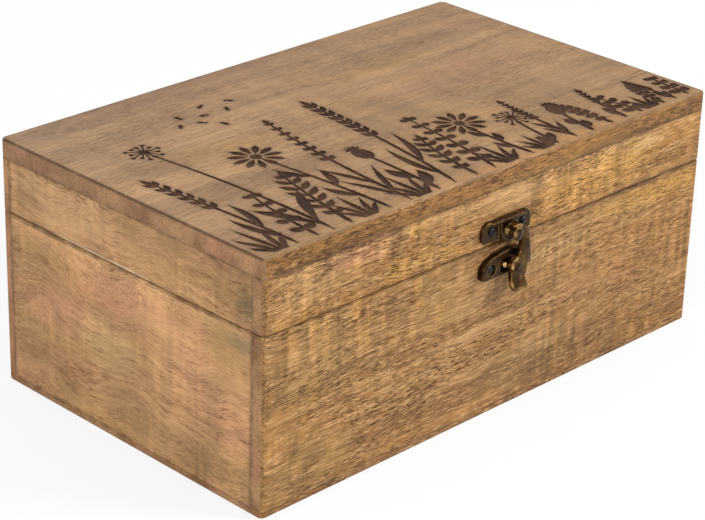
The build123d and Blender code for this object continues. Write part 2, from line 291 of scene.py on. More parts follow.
def ground(shader, grain, seeded, fibre, palette, yellow, pink):
    """The colour of the wood between its pores."""
    bands = shader.noise(grain, (0.004, 0.09, 0.06), 2.0, 0.55)
    lines = shader.noise(grain, (0.012, 0.60, 0.40), 3.0, 0.6)
    glow = shader.noise(seeded, (0.011, 0.05, 0.03), 2.0, 0.6)
    blush = shader.noise(seeded, (0.013, 0.035, 0.02), 2.0, 0.6, 0.4)
    tone = shader.add(shader.times(bands, 0.30), shader.times(lines, 0.35),
                      shader.times(fibre, 0.45))
    color = shader.mix(shader.step(tone, 0.42, 0.57), palette["dark"], palette["mid"])
    color = shader.mix(shader.step(tone, 0.54, 0.70), color, palette["light"])
    color = shader.mix(shader.times(shader.step(glow, 0.50, 0.68), yellow),
                       color, palette["yellow"])
    return shader.mix(shader.times(shader.step(blush, 0.52, 0.72), pink), color, palette["pink"])


def ribbon_blocks(shader, seeded, color, strength):
    """Lays the broken ribbon figure of quartered wood over a colour: brown, pale, dull blocks."""
    parts = shader.split(seeded)
    bend = shader.noise(seeded, (0.02, 0.05, 0.04), 2.0)
    column = shader.math("FLOOR", shader.add(shader.times(parts[0], 0.19),
                                             shader.times(bend, 3.4)))

    def blocks(jump, rate):
        place = shader.join(shader.times(column, jump), shader.times(parts[1], rate), parts[2])
        return shader.noise(place, (1.0, 1.0, 0.04), 2.0, 0.7)

    cell, shade = blocks(5.37, 0.060), blocks(3.71, 0.043)
    patch = shader.step(shader.noise(seeded, (0.016, 0.045, 0.03), 1.0), 0.40, 0.58, 0.10, 1.0)
    patch = shader.times(patch, strength)
    pale = shader.mix(strength, WHEAT, AMBER)
    for value, start, end, share, tint in (
            (shade, 0.54, 0.62, 0.40, BROWN), (cell, 0.53, 0.61, 0.50, pale),
            (cell, 0.47, 0.39, 0.45, OLIVE)):
        mask = shader.times(shader.step(value, start, end), patch, share)
        color = shader.mix(mask, color, tint)
    return color


def pore_masks(shader, grain):
    """Masks for gleaming fibres, long pores, short pores and faint streaks along the grain."""
    crowd = shader.noise(grain, (0.020, 0.09, 0.09), 2.0)
    gleam = shader.noise(shader.scaled(grain, (1, -1, 1)), (0.13, 1.45, 1.45), 3.0, 0.62)
    long_pores = shader.noise(grain, (0.23, 2.15, 2.15), 2.5, 0.60)
    short_pores = shader.noise(grain, (0.58, 3.1, 3.1), 2.0, 0.55)
    streaks = shader.noise(grain, (0.045, 1.0, 1.0), 3.0, 0.65)
    return (shader.step(gleam, 0.53, 0.62),
            shader.times(shader.step(long_pores, 0.515, 0.585),
                         shader.step(crowd, 0.36, 0.58, 0.22, 1.0)),
            shader.times(shader.step(short_pores, 0.55, 0.62),
                         shader.step(crowd, 0.36, 0.62, 0.35, 1.0)),
            shader.step(streaks, 0.55, 0.66))


def ring_lines(shader, grain, seeded):
    """A mask for the thin, broken lines that growth rings leave where a board cuts them."""
    level = shader.noise(grain, (0.026, 0.42, 0.20), 2.0, 0.6)
    first = shader.step(shader.size(shader.less(level, 0.5)), 0.030, 0.006)
    second = shader.step(shader.size(shader.less(level, 0.60)), 0.026, 0.006)
    broken = shader.step(shader.noise(grain, (0.11, 0.50, 0.3), 1.0), 0.42, 0.56)
    grouped = shader.step(shader.noise(seeded, (0.035, 0.045, 0.03), 1.0), 0.36, 0.58, 0.25, 1.0)
    return shader.times(shader.most(first, second), broken, grouped)


def brightness(shader, grain, seeded, grit, shade, figure, comb):
    """How light the board is from place to place: its figure, its cross ripples and its grit."""
    shimmer = shader.noise(seeded, (0.07, 0.018, 0.05), 2.0, 0.6)
    broad = shader.noise(grain, (0.009, 0.055, 0.05), 2.0, 0.55)
    combed = shader.step(shader.noise(seeded, (0.018, 0.04, 0.03), 1.0), 0.42, 0.58, 0.15, 1.0)
    teeth = shader.times(shader.swing(seeded, (0.27, 0.028, 0.05), 1.0), combed)
    light, dark = shade + 0.10 * figure, shade - 0.10 * figure
    return shader.add(shader.step(shimmer, 0.30, 0.70, dark, light),
                      shader.step(grit, 0.30, 0.70, -0.09, 0.09),
                      shader.times(teeth, 0.62 * comb),
                      shader.step(broad, 0.32, 0.68, -0.13 * figure, 0.13 * figure))


def end_grain(shader, grain, across, end_shade, end_fade):
    """The colour of a board's sawn ends, with clouds, open pores and saw marks."""
    dots = shader.step(shader.noise(grain, (0.5, 2.1, 2.1), 2.0, 0.5), 0.46, 0.66)
    cloud = shader.noise(shader.place, (0.05, 0.040, 0.035), 3.0, 0.6)
    saw = shader.noise(shader.place, (1.3, 1.3, 0.16), 2.0, 0.5)
    flush = shader.noise(shader.place, (0.028, 0.05, 0.05), 2.0, 0.6)
    color = shader.mix(shader.step(cloud, 0.36, 0.60), END_DARK, END_GRAIN)
    color = shader.mix(shader.step(cloud, 0.56, 0.72, 0.0, 0.8), color, END_PALE)
    color = shader.mix(shader.step(flush, 0.48, 0.64, 0.0, 0.45), color, ROSE)
    color = shader.mix(shader.times(dots, 0.58), color, GRIME)
    color = shader.mix(shader.step(saw, 0.52, 0.70, 0.0, 0.26), color, GRIME)
    color = shader.mix(1.0, color, (end_shade, end_shade, end_shade, 1.0), "MULTIPLY")
    if end_fade:
        color = shader.mix(1.0, color, shader.grey(shader.step(across, *end_fade)), "MULTIPLY")
    return color


def grime(shader, axes, deep, sides, seams, lips):
    """A mask for dirt near the board's edges, in its seams and on the outer edges of its ends."""
    near = edge_distance(shader, sides)
    rub = shader.noise(shader.place, (0.12, 0.12, 0.12), 3.0, 0.6)
    dirt = shader.times(shader.step(near, 2.0, 0.2), shader.step(rub, 0.40, 0.66), 0.55)
    seam = shader.times(shader.step(near, 0.60, 0.15),
                        shader.step(rub, 0.30, 0.55, 0.3 * seams, 1.2 * seams))
    outer = shader.less(OUTSIDE[axes[2]], shader.size(deep))
    lip = shader.times(shader.step(sides[axes[0]], 1.3, 0.4), shader.step(outer, 1.2, 0.3),
                       shader.step(rub, 0.30, 0.52, 0.45, 1.0), lips)
    return shader.most(dirt, seam, lip)


def wood(node, axes, palette, seed, flow=5.0, curl=0.8, lean=0.0, dashes=0.9, arcs=0.0, comb=0.5,
         figure=0.5, yellow=0.4, pink=0.4, seams=0.5, lips=0.45, shade=1.0, end_shade=0.97,
         shine=0.22, fade=None, end_fade=None, spots=(), swells=(), highlight_place=None, rim_palette=None,
         blocks=None, scorch=False):
    """One board: its grain, pores, figure, colour patches, end grain and grubby edges, with painted
    shadow, shade and highlight where its settings ask for them.

    flow, curl, lean: how far the grain sways and curls, and its slant; swells: humps it bends
    round. dashes, arcs: strength of the pores and of the ring lines; fade: start, end, low and
    high of a step along the board that the pores are multiplied by. comb, figure: strength of
    the cross ripples and of the broad figure; blocks: a step across the board that strengthens
    the ribbon figure. yellow, pink: strength of such patches; spots: other ones, a few of them
    painted shadow and shade. shade, end_shade: how light the faces and the ends are; end_fade:
    a step across the ends. seams, lips: dirt in the seams and on the ends' outer edges. shine:
    specular level. highlight_place: centre and radii of a painted highlight along an edge.
    rim_palette: the tints of a flat board's narrow sides. scorch: whether the face is burnt
    round an engraving.
    """
    shader = Shader("wood_" + node)
    low, high = ([value / MM for value in corner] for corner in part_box(node))
    parts = shader.split(shader.place)
    along, across, deep = (parts[axis] for axis in axes)
    seeded = shader.join(shader.add(along, seed * 311.7), shader.add(across, seed * 57.3),
                         shader.add(deep, seed * 91.1))
    grain = grain_place(shader, seeded, along, across, flow, curl, lean, swells)
    fibre = shader.noise(grain, (0.07, 1.7, 1.7), 3.0, 0.65)
    grit = shader.noise(grain, (0.35, 7.0, 7.0), 2.0, 0.6)
    wander = shader.times(shader.swing(grain, (0.06, 0.35, 0.2), 3.0, 0.65), 1.9)

    facing = [shader.size(part) for part in shader.split(shader.normal)]
    rim = shader.step(facing[axes[1]], 0.72, 0.98)
    cut = shader.step(facing[axes[0]], 0.72, 0.98)
    if rim_palette:
        palette = {key: shader.mix(rim, tint, rim_palette[key]) for key, tint in palette.items()}
        dashes = shader.step(rim, 0.0, 1.0, dashes, 0.8)
        arcs = shader.times(rim, 0.75)
    if fade:
        dashes = shader.times(shader.step(along, *fade), dashes)

    color = ground(shader, grain, seeded, fibre, palette, yellow, pink)
    for centre, radii, tint, strength in spots:
        mask = shader.times(blot(shader, along, across, wander, centre, radii), strength)
        color = shader.mix(mask, color, tint)
    if blocks:
        color = ribbon_blocks(shader, seeded, color, shader.step(across, *blocks))
    gleam, long_pores, short_pores, streaks = pore_masks(shader, grain)
    for mask, strength, tint in ((gleam, 0.90, "light"), (long_pores, 0.95, "pore"),
                                 (short_pores, 0.62, "pore"), (streaks, 0.62, "pore")):
        color = shader.mix(shader.times(mask, dashes, strength), color, palette[tint])
    if arcs:
        mask = shader.times(ring_lines(shader, grain, seeded), arcs)
        color = shader.mix(mask, color, palette["pore"])
    level = brightness(shader, grain, seeded, grit, shade, figure, comb)
    color = shader.mix(1.0, color, shader.grey(level), "MULTIPLY")

    ends = end_grain(shader, grain, across, end_shade, end_fade)
    color = shader.mix(shader.times(cut, 0.86), color, ends)
    sides = side_distances(shader, parts, low, high)
    color = shader.mix(grime(shader, axes, deep, sides, seams, lips), color, GRIME)
    # A painted highlight along an edge, only on the faces that look outward.
    if highlight_place:
        outward = shader.step(facing[axes[2]], 0.25, 0.50)
        mask = shader.times(blot(shader, along, across, wander, *highlight_place), outward, 0.45)
        color = shader.mix(mask, color, HIGHLIGHT_TINT)
    if scorch:
        burn = shader.node("ShaderNodeAttribute", attribute_name="scorch").outputs["Fac"]
        color = shader.mix(shader.times(burn, 0.62), color, SCORCHED)

    height = shader.add(shader.times(fibre, 0.30), shader.times(grit, 0.25),
                        shader.times(shader.less(1.0, long_pores), 0.55),
                        shader.times(shader.less(1.0, short_pores), 0.25))
    gloss = shader.add(0.50, shader.times(fibre, 0.14), shader.times(long_pores, 0.20),
                       shader.times(cut, 0.12))
    return shader.finish(color, gloss, height, 0.06, Specular_IOR_Level=shine)


def burnt(name):
    """The scorched floor and walls of the engraving, with the ridges that the burning left."""
    shader = Shader(name)
    grain = shader.noise(shader.place, (0.25, 1.8, 1.8), 2.0, 0.5)
    ash = shader.noise(shader.place, (0.12, 0.12, 0.12), 3.0, 0.65)
    rows = shader.node("ShaderNodeTexWave", {
        "Vector": shader.place, "Scale": 0.9, "Distortion": 0.6, "Detail": 1.0},
        bands_direction="Y").outputs["Fac"]
    color = shader.mix(shader.step(ash, 0.30, 0.70), CHAR, ASH)
    color = shader.mix(shader.times(shader.step(grain, 0.50, 0.68), 0.7), color, SOOT)
    height = shader.add(shader.times(grain, 0.8), shader.times(rows, 0.4))
    return shader.finish(color, 0.85, height, 0.10, Specular_IOR_Level=0.12)


# -------------------------------------------------------------------- metals

def aged_metal(name, dark, bright, bare_and_glint, rough, glints=(), rounding=0.9):
    """Dark-patinated cast metal, bright at the edges (rubbed patina and painted highlights) and in
    painted highlight spots.

    rough is the roughness, and rounding is how far, in millimetres, the shading rounds the edges.
    """
    shader = Shader(name)
    geometry = shader.node("ShaderNodeNewGeometry")
    bevelled = shader.node("ShaderNodeBevel", {"Radius": 0.45 * MM}, samples=8).outputs[0]
    soft = shader.node("ShaderNodeBevel", {"Radius": rounding * MM}, samples=8).outputs[0]
    agree = shader.node("ShaderNodeVectorMath", {0: bevelled, 1: geometry.outputs["Normal"]},
                        operation="DOT_PRODUCT").outputs["Value"]
    edge = shader.step(agree, 0.975, 0.74)
    mottle = shader.noise(shader.place, (0.30, 0.30, 0.30), 3.0, 0.6)
    fine = shader.noise(shader.place, (1.8, 1.8, 1.8), 3.0, 0.6)
    # Edges painted bright, partly patina rubbed off and partly painted highlights, and some
    # brighter patches of the patina.
    wear_and_glint = shader.math("ADD", shader.times(edge, shader.step(mottle, 0.32, 0.60), 0.8),
                        shader.times(shader.step(mottle, 0.58, 0.76), 0.30), clamp=True)
    parts = shader.split(shader.place)
    wander = shader.times(shader.less(fine, 0.5), 0.9)
    # The given spots are painted highlights.
    for centre, radii, strength in glints:
        mask = shader.times(blot(shader, parts[0], parts[2], wander, centre, radii), strength)
        wear_and_glint = shader.most(wear_and_glint, mask)
    color = shader.mix(shader.step(mottle, 0.35, 0.65), dark, bright)
    color = shader.mix(wear_and_glint, color, bare_and_glint)
    height = shader.add(shader.times(fine, 0.5), mottle)
    gloss = shader.add(rough, shader.times(fine, 0.10), shader.times(wear_and_glint, -0.08))
    return shader.finish(color, gloss, height, 0.03, soft, Metallic=0.95)


# ----------------------------------------------------------------- engraving

def arc(start, heading, length, bend, count):
    """Points along a bending line, with the heading in degrees from +X at each of them."""
    points = [(start[0], start[1], heading)]
    for index in range(count):
        x, y, angle = points[-1]
        turned = angle + bend / count
        run = math.radians((angle + turned) / 2)
        points.append((x + math.cos(run) * length / count, y + math.sin(run) * length / count,
                       turned))
    return points


def ahead(x, y, heading, distance):
    """The point at a distance from another, along a heading in degrees from +X."""
    turn = math.radians(heading)
    return x + math.cos(turn) * distance, y + math.sin(turn) * distance


def ribbon(points, widths):
    """A polygon round a line of points, with its full width at each point."""
    left, right = [], []
    for (x, y, angle), width in zip(points, widths):
        left.append(ahead(x, y, angle + 90, width / 2))
        right.append(ahead(x, y, angle + 90, -width / 2))
    return left + right[::-1]


def leaf(base, heading, length, width, bend=0.0, belly=0.42):
    """A pointed leaf that is widest at the belly's share of its length."""
    steps = 8
    line = arc(base, heading, length, bend, steps)
    widths = []
    for index in range(steps + 1):
        share = index / steps
        bulge = share / belly if share < belly else (1 - share) / (1 - belly)
        widths.append(max(0.12, width * math.sin(bulge * math.pi / 2)))
    return ribbon(line, widths)


def disc(centre, across, along, heading=0.0, count=14):
    """An oval with its length along the heading."""
    turn = math.radians(heading)
    ring = []
    for index in range(count):
        angle = 2 * math.pi * index / count
        u, v = math.cos(angle) * along / 2, math.sin(angle) * across / 2
        ring.append((centre[0] + u * math.cos(turn) - v * math.sin(turn),
                     centre[1] + u * math.sin(turn) + v * math.cos(turn)))
    return ring


def stem(base, heading, length, bend, thick):
    """A list that holds the shape of a thinning stem, and the line that the stem follows."""
    steps = 14
    line = arc(base, heading, length, bend, steps)
    widths = [thick * (1 - 0.55 * index / steps) for index in range(steps + 1)]
    widths[0] = thick * 0.2
    return [ribbon(line, widths)], line


def on_line(line, share):
    """The place and heading at a share of a line's length."""
    place = share * (len(line) - 1)
    index = min(int(place), len(line) - 2)
    part = place - index
    return tuple(a + (b - a) * part for a, b in zip(line[index], line[index + 1]))


def side_leaves(line, places, spread, length, width, bend, belly=0.42):
    """Leaves on a stem, each at a share of its length and on its left (1) or right (-1) side."""
    leaves = []
    for share, side in places:
        x, y, angle = on_line(line, share)
        leaves.append(leaf((x, y), angle + side * spread, length, width, side * bend, belly))
    return leaves


def leaf_pair(line, share, *settings):
    """Two like leaves on a stem, one on either side."""
    return side_leaves(line, ((share, -1), (share, 1)), *settings)


def wheat(base, heading, length, bend):
    """An ear of grain with two leaves at its foot."""
    shapes, line = stem(base, heading, length, bend, 2.0)
    grain = max(3.4, min(6.4, length * 0.085))
    count = int(length * 0.40 / (grain * 0.80)) + 1
    for index in range(count):
        share = 0.58 + 0.40 * index / (count - 1)
        shapes += leaf_pair(line, share, 36, grain, grain * 0.43, -16)
    x, y, angle = line[-1]
    shapes.append(leaf((x, y), angle, grain * 1.25, grain * 0.44))
    return shapes + side_leaves(line, ((0.10, 1), (0.24, -1)), 24, length * 0.34, 3.4, -26)


def fern(base, heading, length, bend):
    """A frond with leaves in pairs that shorten towards the tip."""
    shapes, line = stem(base, heading, length, bend, 2.1)
    count = max(6, int(length / 6.6))
    for index in range(count):
        share = 0.20 + 0.76 * index / (count - 1)
        reach = length * (0.06 + 0.13 * math.sin(math.pi * (1 - share) ** 0.75))
        shapes += leaf_pair(line, share, 56, reach, 3.3, -24, 0.5)
    x, y, angle = line[-1]
    shapes.append(leaf((x, y), angle, 4.4, 2.0))
    return shapes


def lavender(base, heading, length, bend):
    """A spike of small paired buds over three long leaves."""
    shapes, line = stem(base, heading, length, bend, 2.0)
    count = 8
    whorl = max(3.0, min(4.8, length * 0.075))
    for index in range(count):
        share = 0.52 + 0.46 * index / (count - 1)
        size = whorl * (1 - 0.055 * index)
        shapes += leaf_pair(line, share, 52, size, size * 0.60, -30, 0.6)
    x, y, angle = line[-1]
    shapes.append(leaf((x, y), angle, whorl * 0.9, whorl * 0.55))
    places = ((0.05, 1), (0.09, -1), (0.20, 1))
    return shapes + side_leaves(line, places, 17, length * 0.30, 2.6, 9)


def daisy(base, heading, length, bend, petals=11, size=8.4):
    """An open flower with petals round a disc, and three leaves on its stem."""
    shapes, line = stem(base, heading, length, bend, 2.0)
    x, y, angle = line[-1]
    shapes.append(disc((x, y), 4.6, 4.6, count=16))
    for index in range(petals):
        turn = angle + 360 * (index + 0.5) / petals
        shapes.append(leaf(ahead(x, y, turn, 2.9), turn, size, 3.0, 0, 0.62))
    places = ((0.22, 1), (0.40, -1), (0.58, 1))
    return shapes + side_leaves(line, places, 38, length * 0.24, 3.6, -34)


def seed_head(base, heading, length, bend, size=9.0):
    """An oval seed pod with a small crown."""
    shapes, line = stem(base, heading, length, bend, 2.2)
    x, y, angle = line[-1]
    shapes.append(disc((x, y), size * 0.86, size * 1.2, angle))
    crown = ahead(x, y, angle, size * 0.52)
    for side in (-2, -1, 0, 1, 2):
        shapes.append(leaf(crown, angle + side * 34, size * 0.42, 1.5, 0, 0.7))
    places = ((0.12, -1), (0.30, 1))
    return shapes + side_leaves(line, places, 34, length * 0.34, 5.0, -30, 0.5)


def coin_sprig(base, heading, length, bend):
    """A sprig with oval leaves in pairs."""
    shapes, line = stem(base, heading, length, bend, 1.8)
    count = max(4, int(length / 7.5))
    for index in range(count):
        share = 0.16 + 0.80 * index / (count - 1)
        x, y, angle = on_line(line, share)
        size = 5.8 - 2.0 * share
        for side in (-1, 1):
            turn = angle + side * 62
            shapes.append(disc(ahead(x, y, turn, size * 0.62), size * 0.8, size, turn, 12))
    x, y, angle = line[-1]
    shapes.append(disc((x, y), 2.8, 3.6, angle, 12))
    return shapes


def seed_clock(base, heading, length, bend, spokes=13, size=7.2):
    """A round head of seeds on long and short spokes."""
    shapes, line = stem(base, heading, length, bend, 1.9)
    x, y, angle = line[-1]
    shapes.append(disc((x, y), 3.0, 3.0, count=12))
    for index in range(spokes):
        turn = angle + 360 * (index + 0.5) / spokes
        reach = size * (1.0 if index % 2 else 0.78)
        shapes.append(ribbon(arc((x, y), turn, reach, 0, 2), (0.8, 0.7, 0.7)))
        shapes.append(disc(ahead(x, y, turn, reach), 2.1, 1.5, turn, 8))
    places = ((0.05, 1), (0.08, -1))
    return shapes + side_leaves(line, places, 20, length * 0.30, 4.4, 12, 0.6)


def tuft(base, heading, length, bend):
    """Five blades of grass from one root."""
    shapes = []
    for side, share in ((-2, 0.62), (-1, 0.86), (0, 1.0), (1, 0.78), (2, 0.55)):
        root = (base[0] + side * 1.3, base[1])
        shapes.append(leaf(root, heading - side * 13, length * share, 2.4, -side * 12, 0.34))
    shapes.append(disc((base[0], base[1] + 1.0), 4.4, 8.0))
    return shapes


# Kind of plant, X where it grows from the lid's front edge, heading, length and bend.
MEADOW = (
    (tuft, -114, 96, 24, 0), (wheat, -106, 90, 72, 8), (coin_sprig, -96, 88, 42, -12),
    (seed_clock, -88, 88, 99, 10), (fern, -79, 82, 48, -8), (tuft, -69, 86, 20, 0),
    (daisy, -59, 90, 68, 8), (lavender, -48, 88, 90, -10), (tuft, -41, 90, 22, 0),
    (seed_head, -33, 84, 43, 6), (wheat, -24, 76, 92, 12), (fern, -12, 86, 40, -18),
    (coin_sprig, -2, 74, 58, 12), (tuft, 8, 88, 20, 0), (daisy, 20, 94, 40, -10),
    (tuft, 29, 88, 15, 0), (seed_clock, 35, 84, 31, -10), (lavender, 46, 88, 44, -6),
    (seed_head, 56, 82, 25, -8), (fern, 68, 92, 26, 8), (wheat, 77, 82, 31, -8),
    (coin_sprig, 87, 94, 21, 8), (tuft, 94, 86, 14, 0), (fern, 101, 84, 23, -10),
    (lavender, 109, 92, 25, 6), (coin_sprig, 117, 88, 21, -6),
)
# Y of the line that the plants grow from, and the furthest that they reach to either side.
ROOT_LINE = -72.2
WIDEST = 122
# Where the loose seeds drift over the meadow.
DRIFTING = ((-66, 36), (-60, 43), (-55, 34), (-49, 40), (-44, 49), (-38, 41), (-50, 30), (-33, 47))
ENGRAVING_DEPTH = 0.5
# The board's face has rows of extra points up to this far from the motifs, inside a frame, so
# that the scorch round them can fade out. It falls to about a third over SCORCH_FADE.
HALO_REACH = 2.6
HALO_SPACING = 0.9
HALO_ROW_SHARE = 0.87
HALO_FRAME = ((-122.5, -72.5), (122.5, 70))
SCORCH_FADE = 0.75
# The board's underside lies lower than this, and its engraved face higher.
BOARD_MIDDLE = 100
# Edges that turn by more than this many degrees stay sharp.
SMOOTH_ANGLE = 32


def signed_area(points):
    """Twice the area of a polygon, which is positive where it runs anticlockwise."""
    return sum(a[0] * b[1] - b[0] * a[1] for a, b in zip(points, points[1:] + points[:1]))


def anticlockwise(points):
    return points if signed_area(points) > 0 else points[::-1]


def contains(shape, x, y):
    """Whether a point is inside a polygon."""
    odd = False
    for (x1, y1), (x2, y2) in zip(shape, shape[1:] + shape[:1]):
        if (y1 > y) != (y2 > y) and x < x1 + (y - y1) * (x2 - x1) / (y2 - y1):
            odd = not odd
    return odd


def meadow_shapes():
    """The outlines of all the motifs, as polygons in millimetres."""
    shapes = []
    for plant, x, heading, length, bend in MEADOW:
        shapes.extend(plant((x, ROOT_LINE), heading, length, bend))
    for index, (x, y) in enumerate(DRIFTING):
        shapes.append(leaf((x, y), 60 + 37 * index, 3.6, 1.9, 0, 0.6))
        shapes.append(disc((x, y), 1.5, 1.5, count=8))
    return [anticlockwise([(max(-WIDEST, min(WIDEST, px)), max(py, ROOT_LINE)) for px, py in shape])
            for shape in shapes]


def boundary_loop(mesh):
    """The vertices round the one hole in a mesh, in order."""
    edge = next(item for item in mesh.edges if item.is_boundary)
    loop = [edge.verts[0], edge.verts[1]]
    while True:
        following = [item.other_vert(loop[-1]) for item in loop[-1].link_edges
                     if item.is_boundary and item.other_vert(loop[-1]) is not loop[-2]]
        if following[0] is loop[0]:
            return loop
        loop.append(following[0])


def halo_points(shapes):
    """Extra points close round the motifs, so that the scorched edge can fade out."""
    tree = kdtree.KDTree(sum(len(shape) for shape in shapes))
    for count, (x, y) in enumerate(point for shape in shapes for point in shape):
        tree.insert((x, y, 0), count)
    tree.balance()
    points = []
    (x_low, y_low), (x_high, y_high) = HALO_FRAME
    row = 0
    y = y_low
    while y < y_high:
        x = x_low + (row % 2) * HALO_SPACING / 2
        while x < x_high:
            if tree.find((x, y, 0))[2] < HALO_REACH:
                points.append((x, y))
            x += HALO_SPACING
        y += HALO_SPACING * HALO_ROW_SHARE
        row += 1
    return points


def flat_pattern(outline):
    """Triangles that fill the outline and follow the motifs' edges.

    Returns the points, the given points that each of them stands for, the triangles, and
    whether each triangle lies in a motif.
    """
    shapes = meadow_shapes()
    points = list(outline)
    faces = []
    for shape in shapes:
        faces.append(list(range(len(points), len(points) + len(shape))))
        points.extend(shape)
    points.extend(halo_points(shapes))
    ring = list(range(len(outline)))
    faces.append(ring if signed_area(outline) > 0 else ring[::-1])
    whole = len(faces) - 1
    # Output type 1 keeps the inside of the faces, and 1e-4 mm is where points become one.
    points, _, triangles, kept, _, owners = delaunay_2d_cdt(
        [Vector(point) for point in points], [], faces, 1, 1e-4, True)
    cut = []
    for triangle, owner_list in zip(triangles, owners):
        x, y = (sum(points[index][axis] for index in triangle) / 3 for axis in (0, 1))
        cut.append(any(owner != whole and contains(shapes[owner], x, y) for owner in owner_list))
    return points, kept, triangles, cut


def engraved_lid(source):
    """The lid's top board with the meadow cut into its upper face.

    Returns the mesh and the places of the points on the engraving's floor.
    """
    mesh = bmesh.new()
    mesh.from_mesh(source.data)
    bmesh.ops.remove_doubles(mesh, verts=mesh.verts, dist=1e-6)
    top = max(vert.co.z for vert in mesh.verts)
    flat = [face for face in mesh.faces if all(vert.co.z > top - 1e-6 for vert in face.verts)]
    bmesh.ops.delete(mesh, geom=flat, context="FACES")
    rim = boundary_loop(mesh)
    points, kept, triangles, cut = flat_pattern([(vert.co.x / MM, vert.co.y / MM) for vert in rim])
    upper, lower = {}, {}
    for index, sources in enumerate(kept):
        for original in sources:
            if original < len(rim):
                upper[index] = rim[original]

    def vertex(index, sunk):
        store = lower if sunk else upper
        if index not in store:
            x, y = points[index]
            height = top - (ENGRAVING_DEPTH * MM if sunk else 0)
            store[index] = mesh.verts.new((x * MM, y * MM, height))
        return store[index]

    sides = {}
    for triangle, sunk in zip(triangles, cut):
        face = mesh.faces.new([vertex(index, sunk) for index in triangle])
        face.material_index = 1 if sunk else 0
        for start, end in zip(triangle, triangle[1:] + triangle[:1]):
            sides[(start, end)] = sunk
    for (start, end), sunk in sides.items():
        if sunk and sides.get((end, start)) is False:
            wall = mesh.faces.new((vertex(end, True), vertex(start, True), vertex(start, False),
                                   vertex(end, False)))
            wall.material_index = 1
    return mesh, [points[index] for index in lower]


def add_engraved_lid():
    mesh, floor = engraved_lid(bpy.data.objects["lid_top_board"])
    near = kdtree.KDTree(len(floor))
    for count, (x, y) in enumerate(floor):
        near.insert((x * MM, y * MM, 0), count)
    near.balance()
    layer = mesh.verts.layers.float.new("scorch")
    for vert in mesh.verts:
        gap = near.find((vert.co.x, vert.co.y, 0))[2] / MM
        vert[layer] = math.exp(-(gap / SCORCH_FADE)) if vert.co.z > BOARD_MIDDLE * MM else 0.0
    bmesh.ops.recalc_face_normals(mesh, faces=mesh.faces)
    data = bpy.data.meshes.new("lid_engraved_board")
    mesh.to_mesh(data)
    mesh.free()
    for polygon in data.polygons:
        polygon.use_smooth = True
    data.set_sharp_from_angle(angle=math.radians(SMOOTH_ANGLE))
    board = bpy.data.objects.new("lid_engraved_board", data)
    bpy.context.scene.collection.objects.link(board)
    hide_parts("lid_top_board")
    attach(board, "lid")
    return board


# ------------------------------------------------------------------ finishes

def set_material(name, material):
    data = bpy.data.objects[name].data
    data.materials.clear()
    data.materials.append(material)


# Coloured places on the boards, a few of them painted shadow and shade: the middle along and
# across the board, the radii, the tint and how strongly it shows.
FRONT_BODY_SPOTS = (
    ((-75, 48), (48, 14), OLIVE, 0.12), ((70, 52), (38, 5), ROSE, 0.20),
    ((95, 30), (26, 6), UMBER, 0.16), ((88, 38), (60, 46), HONEY, 0.46),
    ((30, 61), (22, 5), PALE, 0.20), ((-40, 30), (36, 4), PALE, 0.18),
    ((10, 44), (40, 3), UMBER, 0.16), ((-96, 56), (30, 18), PALE, 0.14),
    ((-101, 58), (26, 17), OLIVE, 0.25), ((19, 15), (34, 12), OLIVE, 0.55),
    ((96, 68), (36, 6), AMBER, 0.62), ((-33, 64), (9, 7), OLIVE, 0.45),
    # The UMBER line at (86, 74) is painted shade of the gap between lid and body.
    ((86, 74), (44, 1.2), UMBER, 0.70), ((60, 40), (40, 9), ROSE, 0.20),
    ((28, 12), (66, 12), UMBER, 0.30), ((108, 60), (16, 10), HONEY, 0.45),
    ((60, 30), (70, 5), UMBER, 0.12), ((-102, 13), (26, 12), OLIVE, 0.55),
    ((-28, 58), (22, 10), OLIVE, 0.25), ((-60, 16), (70, 9), UMBER, 0.10),
    # The two UMBER places round the latch are painted shadow cast by it.
    ((-4, 53.5), (9, 3.5), UMBER, 0.45), ((-15.5, 61), (3, 5), UMBER, 0.40),
)
FRONT_LID_SPOTS = (
    ((-57, 80), (8, 5), AMBER, 0.75), ((-31, 80), (8, 5), AMBER, 0.65),
    ((-102, 90), (22, 9), PALE, 0.22), ((-101, 83), (17, 8), OLIVE, 0.12),
    ((66, 87), (44, 8), AMBER, 0.62), ((5, 92), (20, 7), PALE, 0.22),
    ((88, 92), (11, 3), PALE, 0.45), ((113, 88), (13, 8), ORANGE, 0.60),
    # The UMBER place at (-15, 79) is painted shadow cast by the latch.
    ((106, 84), (20, 13), HONEY, 0.62), ((-15, 79), (3.5, 4.5), UMBER, 0.45),
    # The UMBER line at (86, 75) is painted shade of the gap between lid and body.
    ((86, 75), (44, 1.2), UMBER, 0.70), ((-85, 96.6), (52, 1.3), UMBER, 0.65),
    ((-80, 92), (20, 4), ROSE, 0.45),
)
LEFT_BODY_SPOTS = (
    ((-64, 68), (9, 5), GREEN, 0.75), ((-54, 63), (15, 9), OLIVE, 0.45),
    ((-50, 12), (28, 10), OLIVE, 0.50), ((-6, 13), (14, 7), OLIVE, 0.55),
    ((36, 11), (12, 5), OLIVE, 0.60), ((60, 22), (14, 14), OLIVE, 0.40),
    ((-61, 32), (15, 13), ROSE, 0.32), ((-1, 62), (30, 12), ROSE, 0.48),
    ((40, 42), (22, 10), ROSE, 0.45), ((-38, 50), (12, 20), ROSE, 0.35),
    ((-11, 56), (13, 13), OLIVE, 0.28), ((12, 38), (17, 12), PALE, 0.28),
    # The UMBER lines at Z 73.6 are painted shade of the gap between lid and body.
    ((-40, 10), (22, 6), UMBER, 0.10), ((46, 73.6), (30, 0.8), UMBER, 0.75),
    ((-40, 73.6), (26, 0.7), UMBER, 0.65),
)
